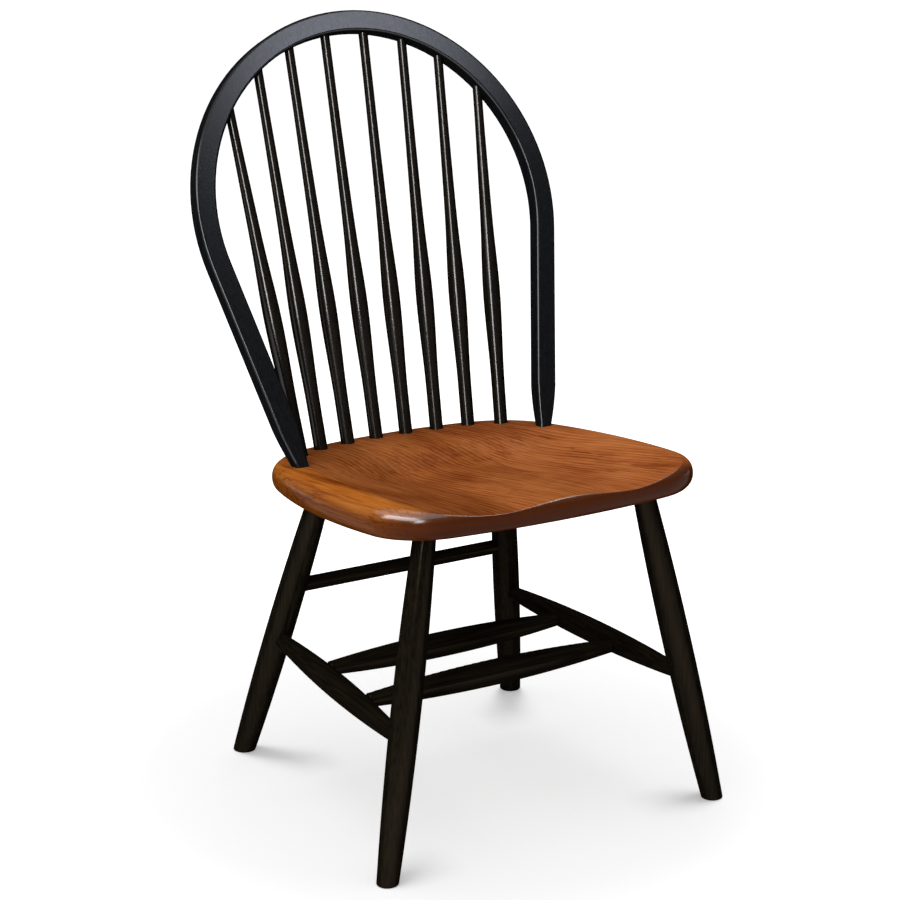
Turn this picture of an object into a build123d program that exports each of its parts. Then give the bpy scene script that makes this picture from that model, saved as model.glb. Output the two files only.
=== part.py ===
from build123d import *

import os
from math import acos, atan2, cos, pi, radians, sin, tan

# Spindle back dining chair: a saddled seat on four splayed turned legs, with a bent bow and
# eight turned spindles standing in its deck. Millimetres, +Z up, the front towards -Y.
# The origin is on the floor, in the middle of the overall width and depth.
# Left and right are those of the person who sits on it, so left is towards +X.

# Overall height and the bow
chair_height = 968.5
bow_lean = 22.15
bow_radius = 247.6
bow_width = 28.0
bow_depth = 22.5
bow_edge_radius = 3.5
bow_foot_width = 16.5
bow_foot_depth = 17.3
bow_taper_length = 54.0
bow_taper_fullness = 0.65
bow_foot_inset = 50.4
bow_foot_from_back = 126.35
bow_tenon_diameter = 13.0
bow_tenon_depth = 26.0

# Seat: plan outline, section and slope
seat_width = 466.0
seat_depth = 471.5
seat_thickness = 39.4
seat_edge_radius = 18.5
seat_tilt = 5.6
seat_front_height = 461.7
front_edge_radius = 965.0
back_edge_radius = 520.0
side_edge_radius = 830.0
widest_from_front = 173.0
front_corner_radius = 92.0
back_corner_radius = 119.0

# Saddle scooped out of the deck: two thigh hollows with a ridge between them, deepest behind the
# middle, that run out gently into the deck at the sides and the back
saddle_front_margin = 13.0
saddle_margin = 25.0
saddle_back_margin = 45.0
saddle_back_inset = 70.0
saddle_deepest_share = 0.58
saddle_section_count = 9
front_hollow_depth = 14.2
front_ridge_depth = 8.0
deepest_hollow_depth = 16.5
deepest_ridge_depth = 15.0
saddle_rim_rise = 1.5
saddle_rim_slope = 6.0
thigh_hollow_spacing = 180.0

# Spindles
spindle_pairs = 4
spindle_inset = 33.5
spindle_foot_spacing = 45.3
spindle_top_spacing = 57.2
end_spindle_top_spacing = 70.0
spindle_set_back = 2.0
spindle_foot_diameter = 18.0
spindle_swell_diameter = 23.2
spindle_neck_diameter = 17.6
spindle_waist_diameter = 14.6
spindle_top_diameter = 12.4
spindle_foot_length = 50.0
spindle_swell_height = 182.0
spindle_neck_height = 262.0
spindle_waist_height = 340.0
spindle_foot_depth = 20.0
spindle_top_depth = 16.0

# Legs: places of the sockets in the underside of the seat, from its edges, and how far each foot
# stands out beyond its socket
front_socket_inset = 76.5
rear_socket_inset = 97.2
front_socket_from_front = 79.55
rear_socket_from_back = 91.35
front_leg_splay = 83.8
rear_leg_splay = 76.4
front_leg_rake = 55.6
rear_leg_rake = 90.0
leg_foot_diameter = 26.0
leg_swell_diameter = 36.5
leg_top_diameter = 28.2
leg_swell_below_seat = 207.0
leg_turned_length = 440.0
leg_tenon_depth = 18.0
leg_tenon_lead = 8.0
sole_edge_radius = 1.6

# Stretchers
side_stretcher_height = 169.0
side_stretcher_swell = 31.5
side_stretcher_end = 19.0
rear_stretcher_height = 243.2
rear_stretcher_diameter = 19.5
stretcher_past_leg_axis = 6.0
stretcher_lead = 3.0
cross_stretcher_spacing = 118.0
cross_stretcher_swell = 33.4
cross_stretcher_end = 18.0
cross_end_chamfer = 1.2
cross_tenon_diameter = 12.0
cross_tenon_depth = 12.0
cross_shoulder_gap = 0.3

# Fits: room for glue round a tenon and at the bottom of its socket
glue_gap = 0.1
socket_end_gap = 1.0

# Length by which a cutter or a blank runs past the face that trims it
overrun = 12.0

tilt = radians(seat_tilt)
lean = radians(bow_lean)
half_depth = seat_depth / 2
widest = widest_from_front - half_depth
bow_foot_spread = seat_width - 2 * bow_foot_inset
bow_foot_from_middle = half_depth - bow_foot_from_back


def point_along(start, end, distance):
    """The point that lies a distance from start on the way to end."""
    return start + (end - start).normalized() * distance


def turning_plane(start, end):
    """Sketch plane of a turned piece: Y runs along its axis from start, and X is its radius."""
    along = (end - start).normalized()
    across = Vector(0, 0, 1) if abs(along.Z) > 0.5 else Vector(along.Y, -along.X, 0)
    radial = along.cross(across).normalized()
    return Plane(origin=start, x_dir=radial, z_dir=radial.cross(along))


def cut_socket(bottom, mouth, diameter):
    """Drill the round socket of a tenon, from its bottom out to a point beyond its mouth."""
    with Locations(Plane(origin=bottom, z_dir=mouth - bottom)):
        Cylinder(
            diameter / 2 + glue_gap,
            (mouth - bottom).length,
            align=(Align.CENTER, Align.CENTER, Align.MIN),
            mode=Mode.SUBTRACT,
        )


def eased(share):
    """A share from 0 to 1 that starts and ends gently."""
    return (1 - cos(pi * share)) / 2


def finish(builder, label):
    """Name a finished piece and write it to its own file."""
    builder.part.label = label
    export_step(builder.part, f"parts/{label}.step")


os.makedirs("parts", exist_ok=True)

# Plan outline of the seat: four large circles overlap, and their corners are rounded
side_centre = seat_width / 2 - side_edge_radius
with BuildSketch() as seat_plan:
    with Locations((side_centre, widest)):
        Circle(side_edge_radius)
    with Locations((-side_centre, widest)):
        Circle(side_edge_radius, mode=Mode.INTERSECT)
    with Locations((0, front_edge_radius - half_depth)):
        Circle(front_edge_radius, mode=Mode.INTERSECT)
    with Locations((0, half_depth - back_edge_radius)):
        Circle(back_edge_radius, mode=Mode.INTERSECT)
    fillet(seat_plan.vertices().group_by(Axis.Y)[0], front_corner_radius)
    fillet(seat_plan.vertices().group_by(Axis.Y)[-1], back_corner_radius)

# The spindles stand on a line parallel to the seat's edge
with BuildLine() as standing_line:
    offset(seat_plan.wire(), amount=-spindle_inset)
    split(bisect_by=Plane.YZ, keep=Keep.TOP)


def standing_place(distance):
    """Plan place on the standing line, measured along it from the middle of the back."""
    line = standing_line.wire()
    from_back = distance if (line @ 0).Y > (line @ 1).Y else line.length - distance
    return line.position_at(from_back, position_mode=PositionMode.LENGTH)


foot_distances = [(pair + 0.5) * spindle_foot_spacing for pair in range(spindle_pairs)]

# Deck of the seat, placed so that the origin is in the middle of the depth
seat_reach = (half_depth - seat_edge_radius) * cos(tilt) + seat_edge_radius
seat_reach += (seat_thickness - seat_edge_radius) * sin(tilt)
deck_height = seat_front_height - half_depth * sin(tilt)
bow_foot_height = deck_height - bow_foot_from_middle * sin(tilt)
bow_half_core = bow_depth / 2 - bow_edge_radius
bow_top_core = chair_height - bow_foot_height - bow_edge_radius - bow_half_core * sin(lean)
bow_rise = bow_top_core / cos(lean) + bow_edge_radius
bow_reach = bow_foot_from_middle * cos(tilt) + (bow_rise - bow_edge_radius) * sin(lean)
bow_reach += bow_half_core * cos(lean) + bow_edge_radius
seat_middle = (seat_reach - bow_reach) / 2
deck = Plane(origin=(0, seat_middle, deck_height), x_dir=(1, 0, 0), z_dir=(0, sin(tilt), cos(tilt)))
underside = deck.offset(-seat_thickness)


def on_deck(x, back):
    """Point of the deck, from its plan place."""
    return deck.from_local_coords(Vector(x, back, 0))


def on_underside(x, back):
    """Point of the underside of the seat, from its plan place."""
    return underside.from_local_coords(Vector(x, back, 0))


# Plane and centre line of the bow: an arc that runs on into two straight legs
bow_plane = Plane(
    origin=on_deck(0, bow_foot_from_middle),
    x_dir=(1, 0, 0),
    z_dir=(0, -cos(lean), sin(lean)),
)
bow_centre_rise = bow_rise - bow_width / 2 - bow_radius
foot_to_centre = Vector(bow_foot_spread / 2, bow_centre_rise).length
tangent_angle = acos(bow_radius / foot_to_centre) - atan2(bow_centre_rise, bow_foot_spread / 2)


def in_bow(x, rise, set_back=0.0):
    """Point in the bow, from its place across, up the slope and behind the middle plane."""
    return bow_plane.from_local_coords(Vector(x, rise, -set_back))


def bow_foot_point(side):
    """Where the centre line of one bow leg meets the deck."""
    return in_bow(side * bow_foot_spread / 2, 0)


def bow_tangent_point(side):
    """Where one straight leg of the bow runs into its arc."""
    across = side * bow_radius * cos(tangent_angle)
    return in_bow(across, bow_centre_rise + bow_radius * sin(tangent_angle))


def bow_tenon_tip(side):
    """End of the tenon that one bow leg carries into the seat."""
    return point_along(bow_foot_point(side), bow_tangent_point(side), -bow_tenon_depth)


# Spindles: each stands on the deck and aims at the middle of its socket in the bow
top_distances = [(pair + 0.5) * spindle_top_spacing for pair in range(spindle_pairs)]
top_distances[-1] = top_distances[-2] + end_spindle_top_spacing
bow_inner_radius = bow_radius - bow_width / 2
spindles = []
for side in (-1, 1):
    for foot_distance, top_distance in zip(foot_distances, top_distances):
        place = standing_place(foot_distance)
        deck_point = on_deck(side * place.X, place.Y)
        fan = top_distance / bow_inner_radius
        mouth = Vector(side * bow_inner_radius * sin(fan), bow_centre_rise + bow_inner_radius * cos(fan))
        foot_in_bow = bow_plane.to_local_coords(deck_point)
        flat_foot = Vector(foot_in_bow.X, foot_in_bow.Y)
        aim = point_along(mouth, flat_foot, -spindle_top_depth / 2)
        spindles.append((deck_point, in_bow(aim.X, aim.Y, spindle_set_back)))
spindles.sort(key=lambda ends: ends[0].X, reverse=True)


def spindle_tip(deck_point, aim):
    """Upper end of a spindle, at the bottom of its socket in the bow."""
    return point_along(aim, deck_point, -spindle_top_depth / 2)


# Legs: the foot on the floor and the point where the axis meets the underside of the seat
front_socket = Vector(seat_width / 2 - front_socket_inset, front_socket_from_front - half_depth)
rear_socket = Vector(seat_width / 2 - rear_socket_inset, half_depth - rear_socket_from_back)
front_foot = front_socket + Vector(front_leg_splay, seat_middle - front_leg_rake)
rear_foot = rear_socket + Vector(rear_leg_splay, seat_middle + rear_leg_rake)
legs = {}
for side, hand in ((1, "left"), (-1, "right")):
    legs[f"leg_front_{hand}"] = (
        Vector(side * front_foot.X, front_foot.Y, 0),
        on_underside(side * front_socket.X, front_socket.Y),
    )
    legs[f"leg_rear_{hand}"] = (
        Vector(side * rear_foot.X, rear_foot.Y, 0),
        on_underside(side * rear_socket.X, rear_socket.Y),
    )


def leg_axis_at(name, height):
    """Point on a leg's axis at a height above the floor."""
    sole, entry = legs[name]
    return sole + (entry - sole) * (height / entry.Z)


# Stretchers: the ends of their axes, on the axes of the pieces that they join
side_axes = {}
for hand in ("left", "right"):
    rear_end = leg_axis_at(f"leg_rear_{hand}", side_stretcher_height)
    front_end = leg_axis_at(f"leg_front_{hand}", side_stretcher_height)
    side_axes[f"side_stretcher_{hand}"] = (rear_end, front_end)
rear_axis = (
    leg_axis_at("leg_rear_right", rear_stretcher_height),
    leg_axis_at("leg_rear_left", rear_stretcher_height),
)
cross_places = {
    "cross_stretcher_front": seat_middle - cross_stretcher_spacing / 2,
    "cross_stretcher_rear": seat_middle + cross_stretcher_spacing / 2,
}


def side_axis_at(name, depth_place):
    """Point on a side stretcher's axis at a place along the chair's depth."""
    rear_end, front_end = side_axes[name]
    return rear_end + (front_end - rear_end) * ((depth_place - rear_end.Y) / (front_end.Y - rear_end.Y))


def swelled_outline(length, straight, end_diameter, swell_diameter):
    """Half outline of a stretcher that swells in one long arc between two straight ends."""
    arc = ThreePointArc(
        (end_diameter / 2, straight),
        (swell_diameter / 2, length / 2),
        (end_diameter / 2, length - straight),
    )
    Polyline(arc @ 1, (end_diameter / 2, length), (0, length), (0, 0), (end_diameter / 2, 0), arc @ 0)


def swell_radius_at(distance, length, straight, end_diameter, swell_diameter):
    """Radius of such a stretcher at a distance along it."""
    half_chord = length / 2 - straight
    bulge = (swell_diameter - end_diameter) / 2
    arc_radius = (half_chord**2 + bulge**2) / (2 * bulge)
    drop = arc_radius - (arc_radius**2 - (distance - length / 2) ** 2) ** 0.5
    return swell_diameter / 2 - drop


# Seat
saddle_front = -half_depth - overrun
saddle_length = half_depth - saddle_back_inset - saddle_front


def saddle_section(share):
    """Half width, hollow depth, ridge depth and rim slope at a share of the saddle's length."""
    rim_slope = tan(radians(saddle_rim_slope))
    if share < saddle_deepest_share:
        deepened = eased(share / saddle_deepest_share)
        margin = saddle_front_margin + (saddle_margin - saddle_front_margin) * deepened
        hollow_depth = front_hollow_depth + (deepest_hollow_depth - front_hollow_depth) * deepened
        ridge_depth = front_ridge_depth + (deepest_ridge_depth - front_ridge_depth) * deepened
    else:
        run_out = eased((share - saddle_deepest_share) / (1 - saddle_deepest_share))
        margin = saddle_margin + (saddle_back_margin - saddle_margin) * run_out
        hollow_depth = deepest_hollow_depth - (deepest_hollow_depth + saddle_rim_rise) * run_out
        ridge_depth = deepest_ridge_depth - (deepest_ridge_depth + saddle_rim_rise) * run_out
        rim_slope *= 1 - run_out
    return seat_width / 2 - margin, hollow_depth, ridge_depth, rim_slope


with BuildPart() as seat:
    with BuildSketch(deck):
        add(seat_plan.sketch)
    extrude(amount=-seat_thickness)
    fillet(seat.faces().sort_by(Axis(deck.origin, deck.z_dir))[-1].edges(), seat_edge_radius)
    fillet(seat.faces().sort_by(Axis(deck.origin, deck.z_dir))[0].edges(), seat_edge_radius)
    hollow = thigh_hollow_spacing / 2
    for number in range(saddle_section_count):
        share = number / (saddle_section_count - 1)
        half_width, hollow_depth, ridge_depth, rim_slope = saddle_section(share)
        back = saddle_front + share * saddle_length
        with BuildSketch(Plane(on_deck(0, back), x_dir=deck.x_dir, z_dir=-deck.y_dir)):
            with BuildLine():
                scoop = Spline(
                    (-half_width, saddle_rim_rise),
                    (-hollow, -hollow_depth),
                    (0, -ridge_depth),
                    (hollow, -hollow_depth),
                    (half_width, saddle_rim_rise),
                    tangents=[(1, -rim_slope), (1, rim_slope)],
                )
                Polyline(scoop @ 1, (half_width, overrun), (-half_width, overrun), scoop @ 0)
            make_face()
    loft(mode=Mode.SUBTRACT)
    for sole, entry in legs.values():
        bottom = point_along(entry, sole, -leg_tenon_depth - socket_end_gap)
        cut_socket(bottom, point_along(entry, sole, overrun), leg_top_diameter)
    for deck_point, aim in spindles:
        bottom = point_along(deck_point, aim, -spindle_foot_depth - socket_end_gap)
        cut_socket(bottom, point_along(deck_point, aim, overrun), spindle_foot_diameter)
    for side in (1, -1):
        bottom = point_along(bow_tenon_tip(side), bow_foot_point(side), -socket_end_gap)
        cut_socket(bottom, point_along(bow_foot_point(side), bottom, -overrun), bow_tenon_diameter)
finish(seat, "seat")

# Bow: bent to its arc, with straight legs that taper to the feet and end in round tenons
with BuildPart() as bow:
    with BuildLine() as bow_centre_line:
        leg_line = Line(
            point_along(bow_foot_point(1), bow_tangent_point(1), bow_taper_length),
            bow_tangent_point(1),
        )
        crown = ThreePointArc(leg_line @ 1, in_bow(0, bow_centre_rise + bow_radius), bow_tangent_point(-1))
        Line(crown @ 1, point_along(bow_foot_point(-1), bow_tangent_point(-1), bow_taper_length))
    with BuildSketch(Plane(bow_centre_line.line @ 0, bow_plane.z_dir, bow_centre_line.line % 0)):
        RectangleRounded(bow_depth, bow_width, bow_edge_radius)
    sweep()
    for side in (1, -1):
        foot, tangent = bow_foot_point(side), bow_tangent_point(side)
        up = (tangent - foot).normalized()
        half_taper = Plane(foot, bow_plane.z_dir, up).offset(bow_taper_length / 2)
        with BuildSketch(Plane(foot, bow_plane.z_dir, up).offset(bow_taper_length)):
            RectangleRounded(bow_depth, bow_width, bow_edge_radius)
        with BuildSketch(half_taper):
            RectangleRounded(
                bow_foot_depth + (bow_depth - bow_foot_depth) * bow_taper_fullness,
                bow_foot_width + (bow_width - bow_foot_width) * bow_taper_fullness,
                bow_edge_radius,
            )
        with BuildSketch(Plane(foot, bow_plane.z_dir, up)) as foot_section:
            RectangleRounded(bow_foot_depth, bow_foot_width, bow_edge_radius)
        loft()
        extrude(foot_section.sketch, amount=-overrun)
    split(bisect_by=deck, keep=Keep.TOP)
    for side in (1, -1):
        tip = bow_tenon_tip(side)
        with Locations(Plane(origin=tip, z_dir=bow_foot_point(side) - tip)):
            Cylinder(
                bow_tenon_diameter / 2,
                bow_tenon_depth + bow_foot_depth,
                align=(Align.CENTER, Align.CENTER, Align.MIN),
            )
    for deck_point, aim in spindles:
        tip = spindle_tip(deck_point, aim)
        bottom = point_along(tip, deck_point, -socket_end_gap)
        cut_socket(bottom, point_along(tip, deck_point, 3 * spindle_top_depth), spindle_top_diameter)
finish(bow, "bow")

# Spindles: straight at the foot, swelled above the seat, and tapered to the bow
for number, (deck_point, aim) in enumerate(spindles, start=1):
    tip = spindle_tip(deck_point, aim)
    length = (tip - deck_point).length
    shaft_length = length - 2 * spindle_top_depth
    with BuildPart() as spindle:
        with BuildSketch(turning_plane(deck_point, tip)):
            with BuildLine():
                swell = Spline(
                    (spindle_foot_diameter / 2, spindle_foot_length),
                    (spindle_swell_diameter / 2, spindle_swell_height),
                    (spindle_neck_diameter / 2, spindle_neck_height),
                    (spindle_waist_diameter / 2, spindle_waist_height),
                    (spindle_top_diameter / 2, shaft_length),
                    tangents=[(0, 1), (0, 1)],
                )
                Polyline(
                    swell @ 1,
                    (spindle_top_diameter / 2, length),
                    (0, length),
                    (0, -spindle_foot_depth),
                    (spindle_foot_diameter / 2, -spindle_foot_depth),
                    swell @ 0,
                )
            make_face()
        revolve(axis=Axis(deck_point, tip - deck_point))
    finish(spindle, f"spindle_{number}")

# Legs: one swelled turning, trimmed flat on the floor, with sockets for the stretchers
for name, (sole, entry) in legs.items():
    entry_length = (entry - sole).length
    with BuildPart() as leg:
        with BuildSketch(turning_plane(sole, entry)):
            with BuildLine():
                lower = TangentArc(
                    (leg_swell_diameter / 2, entry_length - leg_swell_below_seat),
                    (leg_foot_diameter / 2, entry_length - leg_turned_length),
                    tangent=(0, -1),
                )
                upper = TangentArc(
                    (leg_swell_diameter / 2, entry_length - leg_swell_below_seat),
                    (leg_top_diameter / 2, entry_length - leg_tenon_lead),
                    tangent=(0, 1),
                )
                Polyline(
                    upper @ 1,
                    (leg_top_diameter / 2, entry_length + leg_tenon_depth),
                    (0, entry_length + leg_tenon_depth),
                    (0, entry_length - leg_turned_length),
                    lower @ 1,
                )
            make_face()
        revolve(axis=Axis(sole, entry - sole))
        split(bisect_by=Plane.XY, keep=Keep.TOP)
        fillet(leg.faces().sort_by(Axis.Z)[0].edges(), sole_edge_radius)
        hand = name.rsplit("_", 1)[1]
        axis_end, other_end = side_axes[f"side_stretcher_{hand}"]
        if "front" in name:
            axis_end, other_end = other_end, axis_end
        socket_past_axis = stretcher_past_leg_axis + socket_end_gap
        mouth_from_axis = leg_swell_diameter / 2 + overrun
        cut_socket(
            point_along(axis_end, other_end, -socket_past_axis),
            point_along(axis_end, other_end, mouth_from_axis),
            side_stretcher_end,
        )
        if "rear" in name:
            axis_end, other_end = rear_axis if hand == "right" else rear_axis[::-1]
            cut_socket(
                point_along(axis_end, other_end, -socket_past_axis),
                point_along(axis_end, other_end, mouth_from_axis),
                rear_stretcher_diameter,
            )
    finish(leg, name)

# Side stretchers: swelled, with their ends in the legs and sockets for the cross stretchers
side_straight = stretcher_past_leg_axis + leg_swell_diameter / 2 + stretcher_lead
side_starts = {}
for name, (rear_end, front_end) in side_axes.items():
    start = point_along(rear_end, front_end, -stretcher_past_leg_axis)
    end = point_along(front_end, rear_end, -stretcher_past_leg_axis)
    length = (end - start).length
    side_starts[name] = (start, length)
    inward = Vector(-1 if name.endswith("left") else 1, 0, 0)
    with BuildPart() as side_stretcher:
        with BuildSketch(turning_plane(start, end)):
            with BuildLine():
                swelled_outline(length, side_straight, side_stretcher_end, side_stretcher_swell)
            make_face()
        revolve(axis=Axis(start, end - start))
        for depth_place in cross_places.values():
            crossing = side_axis_at(name, depth_place)
            radius = swell_radius_at(
                (crossing - start).length, length, side_straight, side_stretcher_end, side_stretcher_swell
            )
            bottom = crossing + inward * (radius - cross_tenon_depth - socket_end_gap)
            cut_socket(bottom, crossing + inward * (radius + overrun), cross_tenon_diameter)
    finish(side_stretcher, name)

# Cross stretchers: swelled, with blunt chamfered ends and narrower tenons
for name, depth_place in cross_places.items():
    right, left = (side_axis_at(f"side_stretcher_{hand}", depth_place) for hand in ("right", "left"))
    start, side_length = side_starts["side_stretcher_left"]
    side_radius = swell_radius_at(
        (left - start).length, side_length, side_straight, side_stretcher_end, side_stretcher_swell
    )
    rear_end, front_end = side_axes["side_stretcher_left"]
    splay = atan2(front_end.X - rear_end.X, rear_end.Y - front_end.Y)
    shoulder = side_radius / cos(splay) + cross_stretcher_end / 2 * tan(splay) + cross_shoulder_gap
    tip = side_radius - cross_tenon_depth
    length = (left - right).length
    with BuildPart() as cross_stretcher:
        with BuildSketch(turning_plane(right, left)):
            with BuildLine():
                arc = ThreePointArc(
                    (cross_stretcher_end / 2, shoulder + cross_end_chamfer),
                    (cross_stretcher_swell / 2, length / 2),
                    (cross_stretcher_end / 2, length - shoulder - cross_end_chamfer),
                )
                Polyline(
                    arc @ 1,
                    (cross_stretcher_end / 2 - cross_end_chamfer, length - shoulder),
                    (cross_tenon_diameter / 2, length - shoulder),
                    (cross_tenon_diameter / 2, length - tip),
                    (0, length - tip),
                    (0, tip),
                    (cross_tenon_diameter / 2, tip),
                    (cross_tenon_diameter / 2, shoulder),
                    (cross_stretcher_end / 2 - cross_end_chamfer, shoulder),
                    arc @ 0,
                )
            make_face()
        revolve(axis=Axis(right, left - right))
    finish(cross_stretcher, name)

# Rear stretcher: a plain turned rod between the rear legs
rod_start = point_along(*rear_axis, -stretcher_past_leg_axis)
rod_end = point_along(*rear_axis[::-1], -stretcher_past_leg_axis)
with BuildPart() as rear_stretcher:
    with BuildSketch(Plane(origin=rod_start, z_dir=rod_end - rod_start)):
        Circle(rear_stretcher_diameter / 2)
    extrude(amount=(rod_end - rod_start).length)
finish(rear_stretcher, "rear_stretcher")
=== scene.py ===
import math

import bpy
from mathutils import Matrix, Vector

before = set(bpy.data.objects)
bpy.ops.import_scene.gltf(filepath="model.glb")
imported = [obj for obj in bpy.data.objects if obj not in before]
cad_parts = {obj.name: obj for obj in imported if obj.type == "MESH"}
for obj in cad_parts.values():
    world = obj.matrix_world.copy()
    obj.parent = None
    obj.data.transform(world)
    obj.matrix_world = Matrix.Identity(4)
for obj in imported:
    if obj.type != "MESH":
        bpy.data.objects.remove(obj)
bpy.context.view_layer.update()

MM = 0.001
# A colour Mix node finds its two colours and its result by number.
FIRST, SECOND, MIXED = 6, 7, 2
# How far the grain stands up under a finish, and how much of that shows.
grain_relief = 0.2 * MM
relief_strength = 0.05


def linear(hex_colour):
    """An sRGB hex colour as the linear colour that a shader takes."""
    channels = [int(hex_colour[i:i + 2], 16) / 255 for i in (1, 3, 5)]
    return [c / 12.92 if c <= 0.04045 else ((c + 0.055) / 1.055) ** 2.4 for c in channels] + [1.0]


def add(tree, kind, sockets=None, stops=(), **settings):
    """Adds a node to a material. A socket gets a value, or a link from another node's output,
    and a colour ramp gets its stops, each a place from 0 to 1 and a linear colour."""
    node = tree.nodes.new(kind)
    for name, value in settings.items():
        setattr(node, name, value)
    for number, (position, colour) in enumerate(stops):
        ramp = node.color_ramp.elements
        stop = ramp[number] if number < 2 else ramp.new(position)
        stop.position, stop.color = position, colour
    for name, value in (sockets or {}).items():
        if isinstance(value, bpy.types.NodeSocket):
            tree.links.new(value, node.inputs[name])
        else:
            node.inputs[name].default_value = value
    return node


def new_material(name):
    """An empty material and its tree of nodes."""
    material = bpy.data.materials.new(name)
    material.use_nodes = True
    material.node_tree.nodes.clear()
    return material, material.node_tree


def give_finish(material, nodes):
    """Puts one finish on the named pieces."""
    for node in nodes:
        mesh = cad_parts[node].data
        mesh.materials.clear()
        mesh.materials.append(material)


# Seat: cherry boards glued edge to edge, planed and dished, stained brown under satin lacquer.
# Growth rings run front to back as fine dark lines, and bend into contours where the dish cuts
# across them. The board at the sitter's right is sapwood, more golden. The front edge is end grain,
# which drinks the stain and turns dark red brown.
ring_spacing = 6.5 * MM
# Cherry's fibres are far finer than a pixel, so they are drawn much coarser than they are, to show.
fibre_width = 2.4 * MM
fibre_length = 120 * MM
fibre_strength = 0.9
blotch_size = 70 * MM
softened_edge = 2.0 * MM
seat_tilt = math.radians(5.6)
half_blank = 250 * MM
# Along the log, rings and stain change this many times as fast as across it.
ring_stretch = 0.1
blotch_stretch = 0.45
# Each board, from the sitter's right: where it starts, where the heart of its log lies beside the chair's
# middle and above the floor, how far along the log it was cut, how many degrees its grain runs out to the
# sitter's left, and its tone. The tones are partly each board's own and partly painted shade: darkest on
# the board just to the sitter's right of the middle, where the dish slopes away from the light, and
# lighter towards the sitter's left.
boards = (
    (-250 * MM, -470 * MM, 170 * MM, 0.20, 2, "#BE7630"),
    (-186 * MM, 90 * MM, 235 * MM, 0.90, 4, "#985C30"),
    (-70 * MM, 210 * MM, 225 * MM, 0.45, 9, "#AA6838"),
    (52 * MM, 340 * MM, 205 * MM, 0.70, 13, "#B46F3F"),
    (150 * MM, 460 * MM, 190 * MM, 0.10, 16, "#B87240"),
)
# On each side of a joint the tones run into each other over this share of the blank.
tone_run = 0.02

stained_cherry, wood = new_material("stained_cherry_satin_lacquer")
place = add(wood, "ShaderNodeTexCoord")
across = add(wood, "ShaderNodeSeparateXYZ", {"Vector": place.outputs["Object"]})
across_blank = add(wood, "ShaderNodeMapRange", {
    "Value": across.outputs["X"], "From Min": -half_blank, "From Max": half_blank})
joint_places = [(start + half_blank) / (2 * half_blank) for start, *_ in boards]
# The board tones hold painted shade as well as the wood's own tone.
board_tone_and_painted_shade = add(wood, "ShaderNodeValToRGB", {"Fac": across_blank.outputs["Result"]}, [
    (joint + tone_run, linear(tone)) for joint, (*_, tone) in zip(joint_places, boards)]
    + [(next_joint - tone_run, linear(tone)) for next_joint, (*_, tone) in zip(joint_places[1:], boards)])
# A second ramp picks each board's place in its log and, as its alpha, the run of its grain.
log_heart = add(wood, "ShaderNodeValToRGB", {"Fac": across_blank.outputs["Result"]}, [
    (joint, (beside + half_blank, along_log, above, math.radians(run_out)))
    for joint, (start, beside, above, along_log, run_out, tone) in zip(joint_places, boards)])
log_heart.color_ramp.interpolation = "CONSTANT"
level_blank = add(wood, "ShaderNodeMapping", {
    "Vector": place.outputs["Object"], "Location": (half_blank, 0.0, 0.0),
    "Rotation": (seat_tilt, 0.0, 0.0)})
from_heart = add(wood, "ShaderNodeVectorMath", {
    0: level_blank.outputs["Vector"], 1: log_heart.outputs["Color"]}, operation="SUBTRACT")
in_log = add(wood, "ShaderNodeVectorRotate", {
    "Vector": from_heart.outputs["Vector"], "Angle": log_heart.outputs["Alpha"]},
    rotation_type="Z_AXIS", invert=True)

# A ring texture of scale 1 repeats every 0.314 m.
ring_texture_repeat = 0.314
ring_place = add(wood, "ShaderNodeMapping", {
    "Vector": in_log.outputs["Vector"], "Scale": (1.0, ring_stretch, 1.0)})
rings = add(wood, "ShaderNodeTexWave", {
    "Vector": ring_place.outputs["Vector"], "Scale": ring_texture_repeat / ring_spacing,
    "Distortion": 4.2, "Detail": 3.0, "Detail Scale": 0.25, "Detail Roughness": 0.6},
    wave_type="RINGS", rings_direction="Y", wave_profile="SAW")
fibre_place = add(wood, "ShaderNodeMapping", {
    "Vector": in_log.outputs["Vector"], "Scale": (1 / fibre_width, 1 / fibre_length, 1 / fibre_width)})
fibres = add(wood, "ShaderNodeTexNoise", {
    "Vector": fibre_place.outputs["Vector"], "Scale": 1.0, "Detail": 4.0, "Roughness": 0.65})
blotch_place = add(wood, "ShaderNodeMapping", {
    "Vector": in_log.outputs["Vector"],
    "Scale": (1 / blotch_size, blotch_stretch / blotch_size, 1 / blotch_size)})
blotches = add(wood, "ShaderNodeTexNoise", {
    "Vector": blotch_place.outputs["Vector"], "Scale": 1.0, "Detail": 3.0, "Roughness": 0.55})

blotch_shade = add(wood, "ShaderNodeValToRGB", {"Fac": blotches.outputs["Fac"]}, [
    (0.30, linear("#CDB8AA")), (0.50, linear("#F2EAE4")), (0.68, linear("#FFFFFF"))])
with_blotches = add(wood, "ShaderNodeMix", {
    "Factor": 1.0, FIRST: board_tone_and_painted_shade.outputs["Color"], SECOND: blotch_shade.outputs["Color"]},
    data_type="RGBA", blend_type="MULTIPLY")
ring_shade = add(wood, "ShaderNodeValToRGB", {"Fac": rings.outputs["Fac"]}, [
    (0.0, linear("#F6F0EC")), (0.60, linear("#FFFFFF")),
    (0.86, linear("#B69C8C")), (1.0, linear("#E4D8CE"))])
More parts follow.
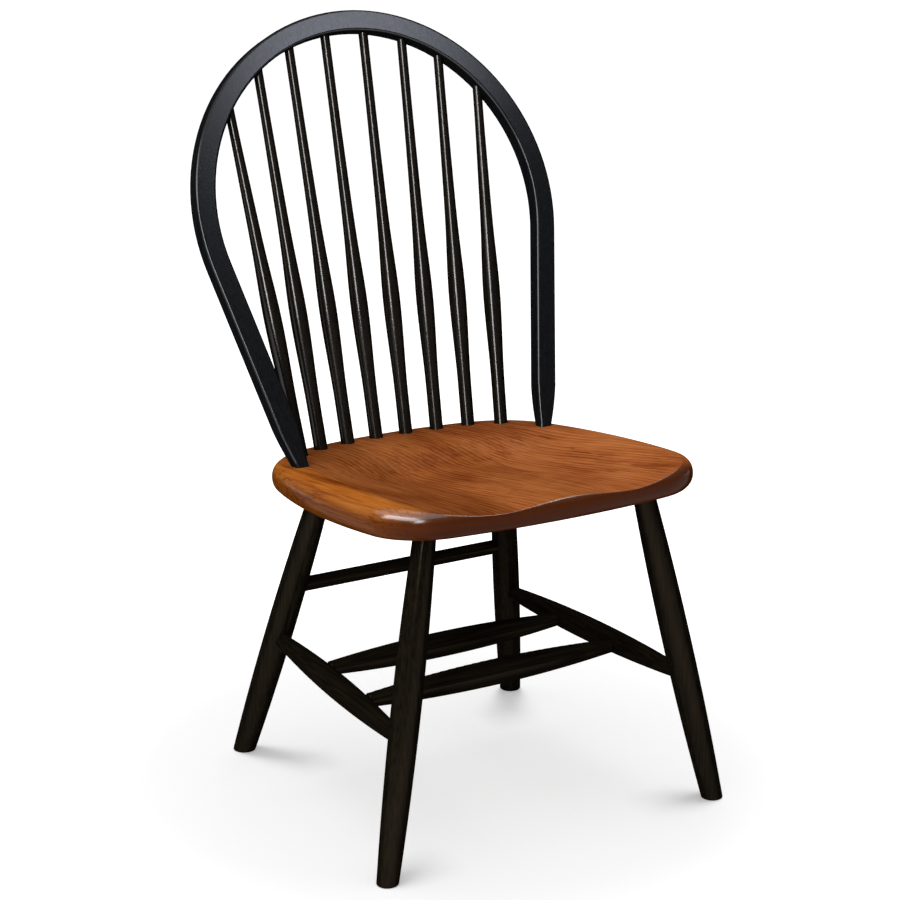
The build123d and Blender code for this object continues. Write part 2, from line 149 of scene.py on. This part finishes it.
# Rings show less where the stain is pale, and less on the edges than on the top.
ring_strength = add(wood, "ShaderNodeMapRange", {
    "Value": blotches.outputs["Fac"], "From Min": 0.35, "From Max": 0.65,
    "To Min": 1.0, "To Max": 0.35})
facing = add(wood, "ShaderNodeSeparateXYZ", {"Vector": place.outputs["Normal"]})
top_share = add(wood, "ShaderNodeMapRange", {
    "Value": facing.outputs["Z"], "From Min": 0.45, "From Max": 0.95, "To Min": 0.3, "To Max": 1.0})
ring_share = add(wood, "ShaderNodeMath", {
    0: ring_strength.outputs["Result"], 1: top_share.outputs["Result"]}, operation="MULTIPLY")
with_rings = add(wood, "ShaderNodeMix", {
    "Factor": ring_share.outputs["Value"], FIRST: with_blotches.outputs[MIXED],
    SECOND: ring_shade.outputs["Color"]},
    data_type="RGBA", blend_type="MULTIPLY")
fibre_shade = add(wood, "ShaderNodeValToRGB", {"Fac": fibres.outputs["Fac"]}, [
    (0.32, linear("#9C7C6A")), (0.48, linear("#EEE4DC")), (0.66, linear("#FFFFFF"))])
with_fibres = add(wood, "ShaderNodeMix", {
    "Factor": fibre_strength, FIRST: with_rings.outputs[MIXED],
    SECOND: fibre_shade.outputs["Color"]},
    data_type="RGBA", blend_type="MULTIPLY")

# The rounded edges are painted darker the more they turn from facing up, a painted shade, and the end
# grain takes the stain most and turns darkest.
edge_painted_shade = add(wood, "ShaderNodeValToRGB", {"Fac": facing.outputs["Z"]}, [
    (0.15, linear("#A89C96")), (0.75, linear("#FFFFFF"))])
with_edge_painted_shade = add(wood, "ShaderNodeMix", {
    "Factor": 1.0, FIRST: with_fibres.outputs[MIXED], SECOND: edge_painted_shade.outputs["Color"]},
    data_type="RGBA", blend_type="MULTIPLY")
end_grain = add(wood, "ShaderNodeMath", {0: facing.outputs["Y"]}, operation="ABSOLUTE")
end_grain_share = add(wood, "ShaderNodeMapRange", {
    "Value": end_grain.outputs["Value"], "From Min": 0.25, "From Max": 0.75, "To Max": 0.85},
    interpolation_type="SMOOTHSTEP")
end_grain_shade = add(wood, "ShaderNodeMix", {
    "Factor": end_grain_share.outputs["Result"], FIRST: with_edge_painted_shade.outputs[MIXED],
    SECOND: linear("#4E2410")},
    data_type="RGBA")

# Sanding softens the sharp edge round the dish, which catches a line of light.
soft_edges = add(wood, "ShaderNodeBevel", {"Radius": softened_edge}, samples=8)
fibre_relief = add(wood, "ShaderNodeBump", {
    "Strength": relief_strength, "Distance": grain_relief, "Height": fibres.outputs["Fac"],
    "Normal": soft_edges.outputs["Normal"]})
lacquer_roughness = add(wood, "ShaderNodeMapRange", {
    "Value": fibres.outputs["Fac"], "To Min": 0.16, "To Max": 0.22})
# The lacquer is thin on the sides, rubbed brightest on the rounded edge and duller on the flat top.
# Real lacquer mirrors a white floor at a glancing angle, which would make the seat milky here, so
# its reflection is made to fade there.
turned_away = add(wood, "ShaderNodeLayerWeight", {"Blend": 0.5, "Normal": soft_edges.outputs["Normal"]})
glancing = add(wood, "ShaderNodeMapRange", {
    "Value": turned_away.outputs["Facing"], "From Min": 0.40, "From Max": 0.68,
    "To Min": 1.0, "To Max": 0.0})
softly_facing = add(wood, "ShaderNodeSeparateXYZ", {"Vector": soft_edges.outputs["Normal"]})
rubbed_bright = add(wood, "ShaderNodeValToRGB", {"Fac": softly_facing.outputs["Z"]}, [
    (0.25, (0.03, 0.03, 0.03, 1.0)), (0.60, (1.0, 1.0, 1.0, 1.0)),
    (0.85, (1.0, 1.0, 1.0, 1.0)), (0.97, (0.35, 0.35, 0.35, 1.0))])
lacquer_gloss = add(wood, "ShaderNodeMath", {
    0: glancing.outputs["Result"], 1: rubbed_bright.outputs["Color"]}, operation="MULTIPLY")
lacquered = add(wood, "ShaderNodeBsdfPrincipled", {
    "Base Color": end_grain_shade.outputs[MIXED], "Roughness": lacquer_roughness.outputs["Result"],
    "IOR": 1.6, "Specular IOR Level": lacquer_gloss.outputs["Value"],
    "Normal": fibre_relief.outputs["Normal"]})
add(wood, "ShaderNodeOutputMaterial", {"Surface": lacquered.outputs["BSDF"]})
give_finish(stained_cherry, ["seat"])


# Frame: turned and bent hardwood, sprayed satin black. The paint is thin, so fine grain lines
# show through it as faint ridges along each piece, and it is a little paler between them.
def black_paint(name, grain_scale, sheen, tones, sheen_tone="#FFFFFF"):
    """Satin black paint on wood whose grain runs along one axis of the chair."""
    material, paint = new_material(name)
    where = add(paint, "ShaderNodeTexCoord")
    grain_place = add(paint, "ShaderNodeMapping", {
        "Vector": where.outputs["Object"], "Scale": grain_scale})
    grain = add(paint, "ShaderNodeTexNoise", {
        "Vector": grain_place.outputs["Vector"], "Scale": 1.0, "Detail": 1.5, "Roughness": 0.5})
    colour = add(paint, "ShaderNodeValToRGB", {"Fac": grain.outputs["Fac"]}, [
        (stop, linear(tone)) for stop, tone in zip((0.35, 0.55, 0.75), tones)])
    ridges = add(paint, "ShaderNodeBump", {
        "Strength": relief_strength, "Distance": grain_relief, "Height": grain.outputs["Fac"]})
    roughness = add(paint, "ShaderNodeMapRange", {
        "Value": grain.outputs["Fac"], "To Min": 0.15, "To Max": 0.21})
    # Real paint mirrors a white floor at a glancing angle, which would turn the frame grey here, so
    # its reflection is made to fade there.
    turned_away = add(paint, "ShaderNodeLayerWeight", {"Blend": 0.5})
    gloss = add(paint, "ShaderNodeMapRange", {
        "Value": turned_away.outputs["Facing"], "From Min": 0.03, "From Max": 0.32,
        "To Min": sheen, "To Max": 0.0})
    painted = add(paint, "ShaderNodeBsdfPrincipled", {
        "Base Color": colour.outputs["Color"], "Roughness": roughness.outputs["Result"],
        "IOR": 1.5, "Specular IOR Level": gloss.outputs["Result"], "Specular Tint": linear(sheen_tone),
        "Normal": ridges.outputs["Normal"]})
    add(paint, "ShaderNodeOutputMaterial", {"Surface": painted.outputs["BSDF"]})
    return material


# Grain lines under paint are finer than a pixel, so they are drawn coarse enough to show.
grain_width = 2.8 * MM
grain_length = 80 * MM
upright = (1 / grain_width, 1 / grain_width, 1 / grain_length)
fore_and_aft = (1 / grain_width, 1 / grain_length, 1 / grain_width)
crosswise = (1 / grain_length, 1 / grain_width, 1 / grain_width)
# The bow's black is tinted cool blue all over, a painted tint for the blue-grey sheen its broad face
# mirrors, and the round pieces are a warm brown black.
black_with_painted_cool_sheen = ("#17181A", "#111214", "#0D0E0F")
warm_black = ("#1C160F", "#13100B", "#0C0B09")
# The legs and stretchers shine less than the back, with a warm tint.
warm_sheen = "#FFE0BC"
back_sheen = 0.65
base_sheen = 0.1
# The bow's cool blue tones are a painted tint for the sheen it mirrors.
bow_paint = black_paint("satin_black_paint_bow", upright, back_sheen, black_with_painted_cool_sheen)
spindle_paint = black_paint("satin_black_paint_spindles", upright, back_sheen, warm_black)
leg_paint = black_paint("satin_black_paint_legs", upright, base_sheen, warm_black, warm_sheen)
side_paint = black_paint(
    "satin_black_paint_fore_and_aft", fore_and_aft, base_sheen, warm_black, warm_sheen)
cross_paint = black_paint(
    "satin_black_paint_crosswise", crosswise, base_sheen, warm_black, warm_sheen)
legs = ["leg_front_left", "leg_front_right", "leg_rear_left", "leg_rear_right"]
give_finish(bow_paint, ["bow"])
give_finish(spindle_paint, [f"spindle_{number}" for number in range(1, 9)])
give_finish(leg_paint, legs)
give_finish(side_paint, ["side_stretcher_left", "side_stretcher_right"])
give_finish(cross_paint, ["cross_stretcher_front", "cross_stretcher_rear", "rear_stretcher"])


# Floor: a wide white studio sheet. The camera and reflections see it lifted to white, more so away
# from the chair, and it keeps the chair's shadow.
sheet_radius = 60.0
# The lift under the chair, and how far from its middle the lift starts to grow and is full.
lift_under_chair = 0.37
lift_grows_from = 0.36
lift_full_from = 0.85
bpy.ops.object.select_all(action="DESELECT")
bpy.ops.mesh.primitive_circle_add(vertices=96, radius=sheet_radius, fill_type="NGON")
floor = bpy.context.object
floor.name = "studio_sheet"
sheet, paper = new_material("white_studio_paper")
ray = add(paper, "ShaderNodeLightPath")
camera_or_glossy = add(paper, "ShaderNodeMath", {
    0: ray.outputs["Is Camera Ray"], 1: ray.outputs["Is Glossy Ray"]}, operation="MAXIMUM")
seen = add(paper, "ShaderNodeMath", {
    0: camera_or_glossy.outputs["Value"], 1: ray.outputs["Is Transmission Ray"]}, operation="MAXIMUM")
sheet_place = add(paper, "ShaderNodeTexCoord")
from_chair = add(paper, "ShaderNodeVectorMath", {0: sheet_place.outputs["Object"]}, operation="LENGTH")
lift = add(paper, "ShaderNodeMapRange", {
    "Value": from_chair.outputs["Value"], "From Min": lift_grows_from, "From Max": lift_full_from,
    "To Min": lift_under_chair, "To Max": 1.0},
    interpolation_type="SMOOTHSTEP")
lift_seen = add(paper, "ShaderNodeMath", {
    0: lift.outputs["Result"], 1: seen.outputs["Value"]}, operation="MULTIPLY")
glow = add(paper, "ShaderNodeEmission", {"Strength": lift_seen.outputs["Value"]})
matt = add(paper, "ShaderNodeBsdfDiffuse", {"Color": linear("#F8F8F8")})
both = add(paper, "ShaderNodeAddShader", {0: matt.outputs["BSDF"], 1: glow.outputs["Emission"]})
add(paper, "ShaderNodeOutputMaterial", {"Surface": both.outputs["Shader"]})
floor.data.materials.append(sheet)

# Studio light: a dim even room under a broad ceiling box. Four smaller boxes draw the lines of
# light: on the seat's corner and the bow's edge, on the edge round the dish, on the spindles, and
# on the crown of the bow.
world = bpy.data.worlds.new("dim_room")
bpy.context.scene.world = world
world.use_nodes = True
room = world.node_tree
room.nodes.clear()
sky = add(room, "ShaderNodeBackground", {"Color": linear("#F4F8FF"), "Strength": 0.05})
add(room, "ShaderNodeOutputWorld", {"Surface": sky.outputs["Background"]})


def softbox(name, place, aim, width, height, brightness, beam=180, colour="#FFFFFF"):
    """A soft rectangular lamp that faces a point, so many times as bright to the eye as white paper,
    with its light kept within a beam in degrees."""
    lamp = bpy.data.lights.new(name, "AREA")
    lamp.shape = "RECTANGLE"
    lamp.size = width
    lamp.size_y = height
    lamp.energy = brightness * math.pi * width * height
    lamp.spread = math.radians(beam)
    lamp.color = linear(colour)[:3]
    box = bpy.data.objects.new(name, lamp)
    box.location = place
    box.rotation_euler = (Vector(aim) - Vector(place)).to_track_quat("-Z", "Y").to_euler()
    bpy.context.scene.collection.objects.link(box)
    return box


def link_floor(box, state):
    """Keeps a lamp off the floor, with EXCLUDE, or on the floor alone, with INCLUDE."""
    linked = bpy.data.collections.new(box.name + "_floor")
    linked.objects.link(floor)
    linked.collection_objects[0].light_linking.link_state = state
    box.light_linking.receiver_collection = linked


overhead = (0.0, 0.0, 2.9)
# A hair off the middle, so that a lamp straight above is turned square to the chair.
under_chair = (0.0, -0.0001, 0.0)
softbox("ceiling_box", overhead, under_chair, 5.0, 5.0, 0.75)
left_head = softbox("left_head", (-1.84, -0.37, 1.92), (-0.21, -0.23, 0.45), 2.2, 0.9, 5.0)
right_head = softbox("right_head", (1.15, -0.2, 2.6), (0.0, -0.28, 0.45), 2.4, 0.3, 8.0)
left_strip = softbox("left_strip", (-2.2, -2.2, 1.6), (0.0, 0.2, 0.75), 0.6, 1.3, 14.0)
softbox("crown_box", (1.41, -1.88, 2.5), (0.0, 0.22, 1.0), 0.5, 0.5, 0.07, beam=16, colour="#E6ECFF")
# These three would throw shadows sideways over the floor.
for side_lamp in (left_head, right_head, left_strip):
    link_floor(side_lamp, "EXCLUDE")

# A small lamp overhead lights the floor alone. Only the legs stop it, so that each foot has a short
# streak of shadow and the seat adds none.
foot_box = softbox("foot_box", overhead, under_chair, 0.4, 0.4, 54.0)
link_floor(foot_box, "INCLUDE")
leg_shadows = bpy.data.collections.new("foot_box_stopped_by")
for leg in legs:
    leg_shadows.objects.link(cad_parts[leg])
foot_box.light_linking.blocker_collection = leg_shadows

# Camera at the photograph's height, side and distance.
camera_azimuth = math.radians(-30.71)
camera_elevation = math.radians(16.72)
camera_distance = 3.0327
camera_target = Vector((-0.02583, -0.04696, 0.45299))
camera_data = bpy.data.cameras.new("camera")
camera_data.lens = 96.446
camera_data.sensor_width = 36
camera = bpy.data.objects.new("camera", camera_data)
from_target = Vector((math.sin(camera_azimuth) * math.cos(camera_elevation),
                      -math.cos(camera_azimuth) * math.cos(camera_elevation),
                      math.sin(camera_elevation)))
camera.location = camera_target + camera_distance * from_target
camera.rotation_euler = (-from_target).to_track_quat("-Z", "Y").to_euler()
bpy.context.scene.collection.objects.link(camera)
bpy.context.scene.camera = camera
bpy.context.scene.view_settings.view_transform = "Standard"
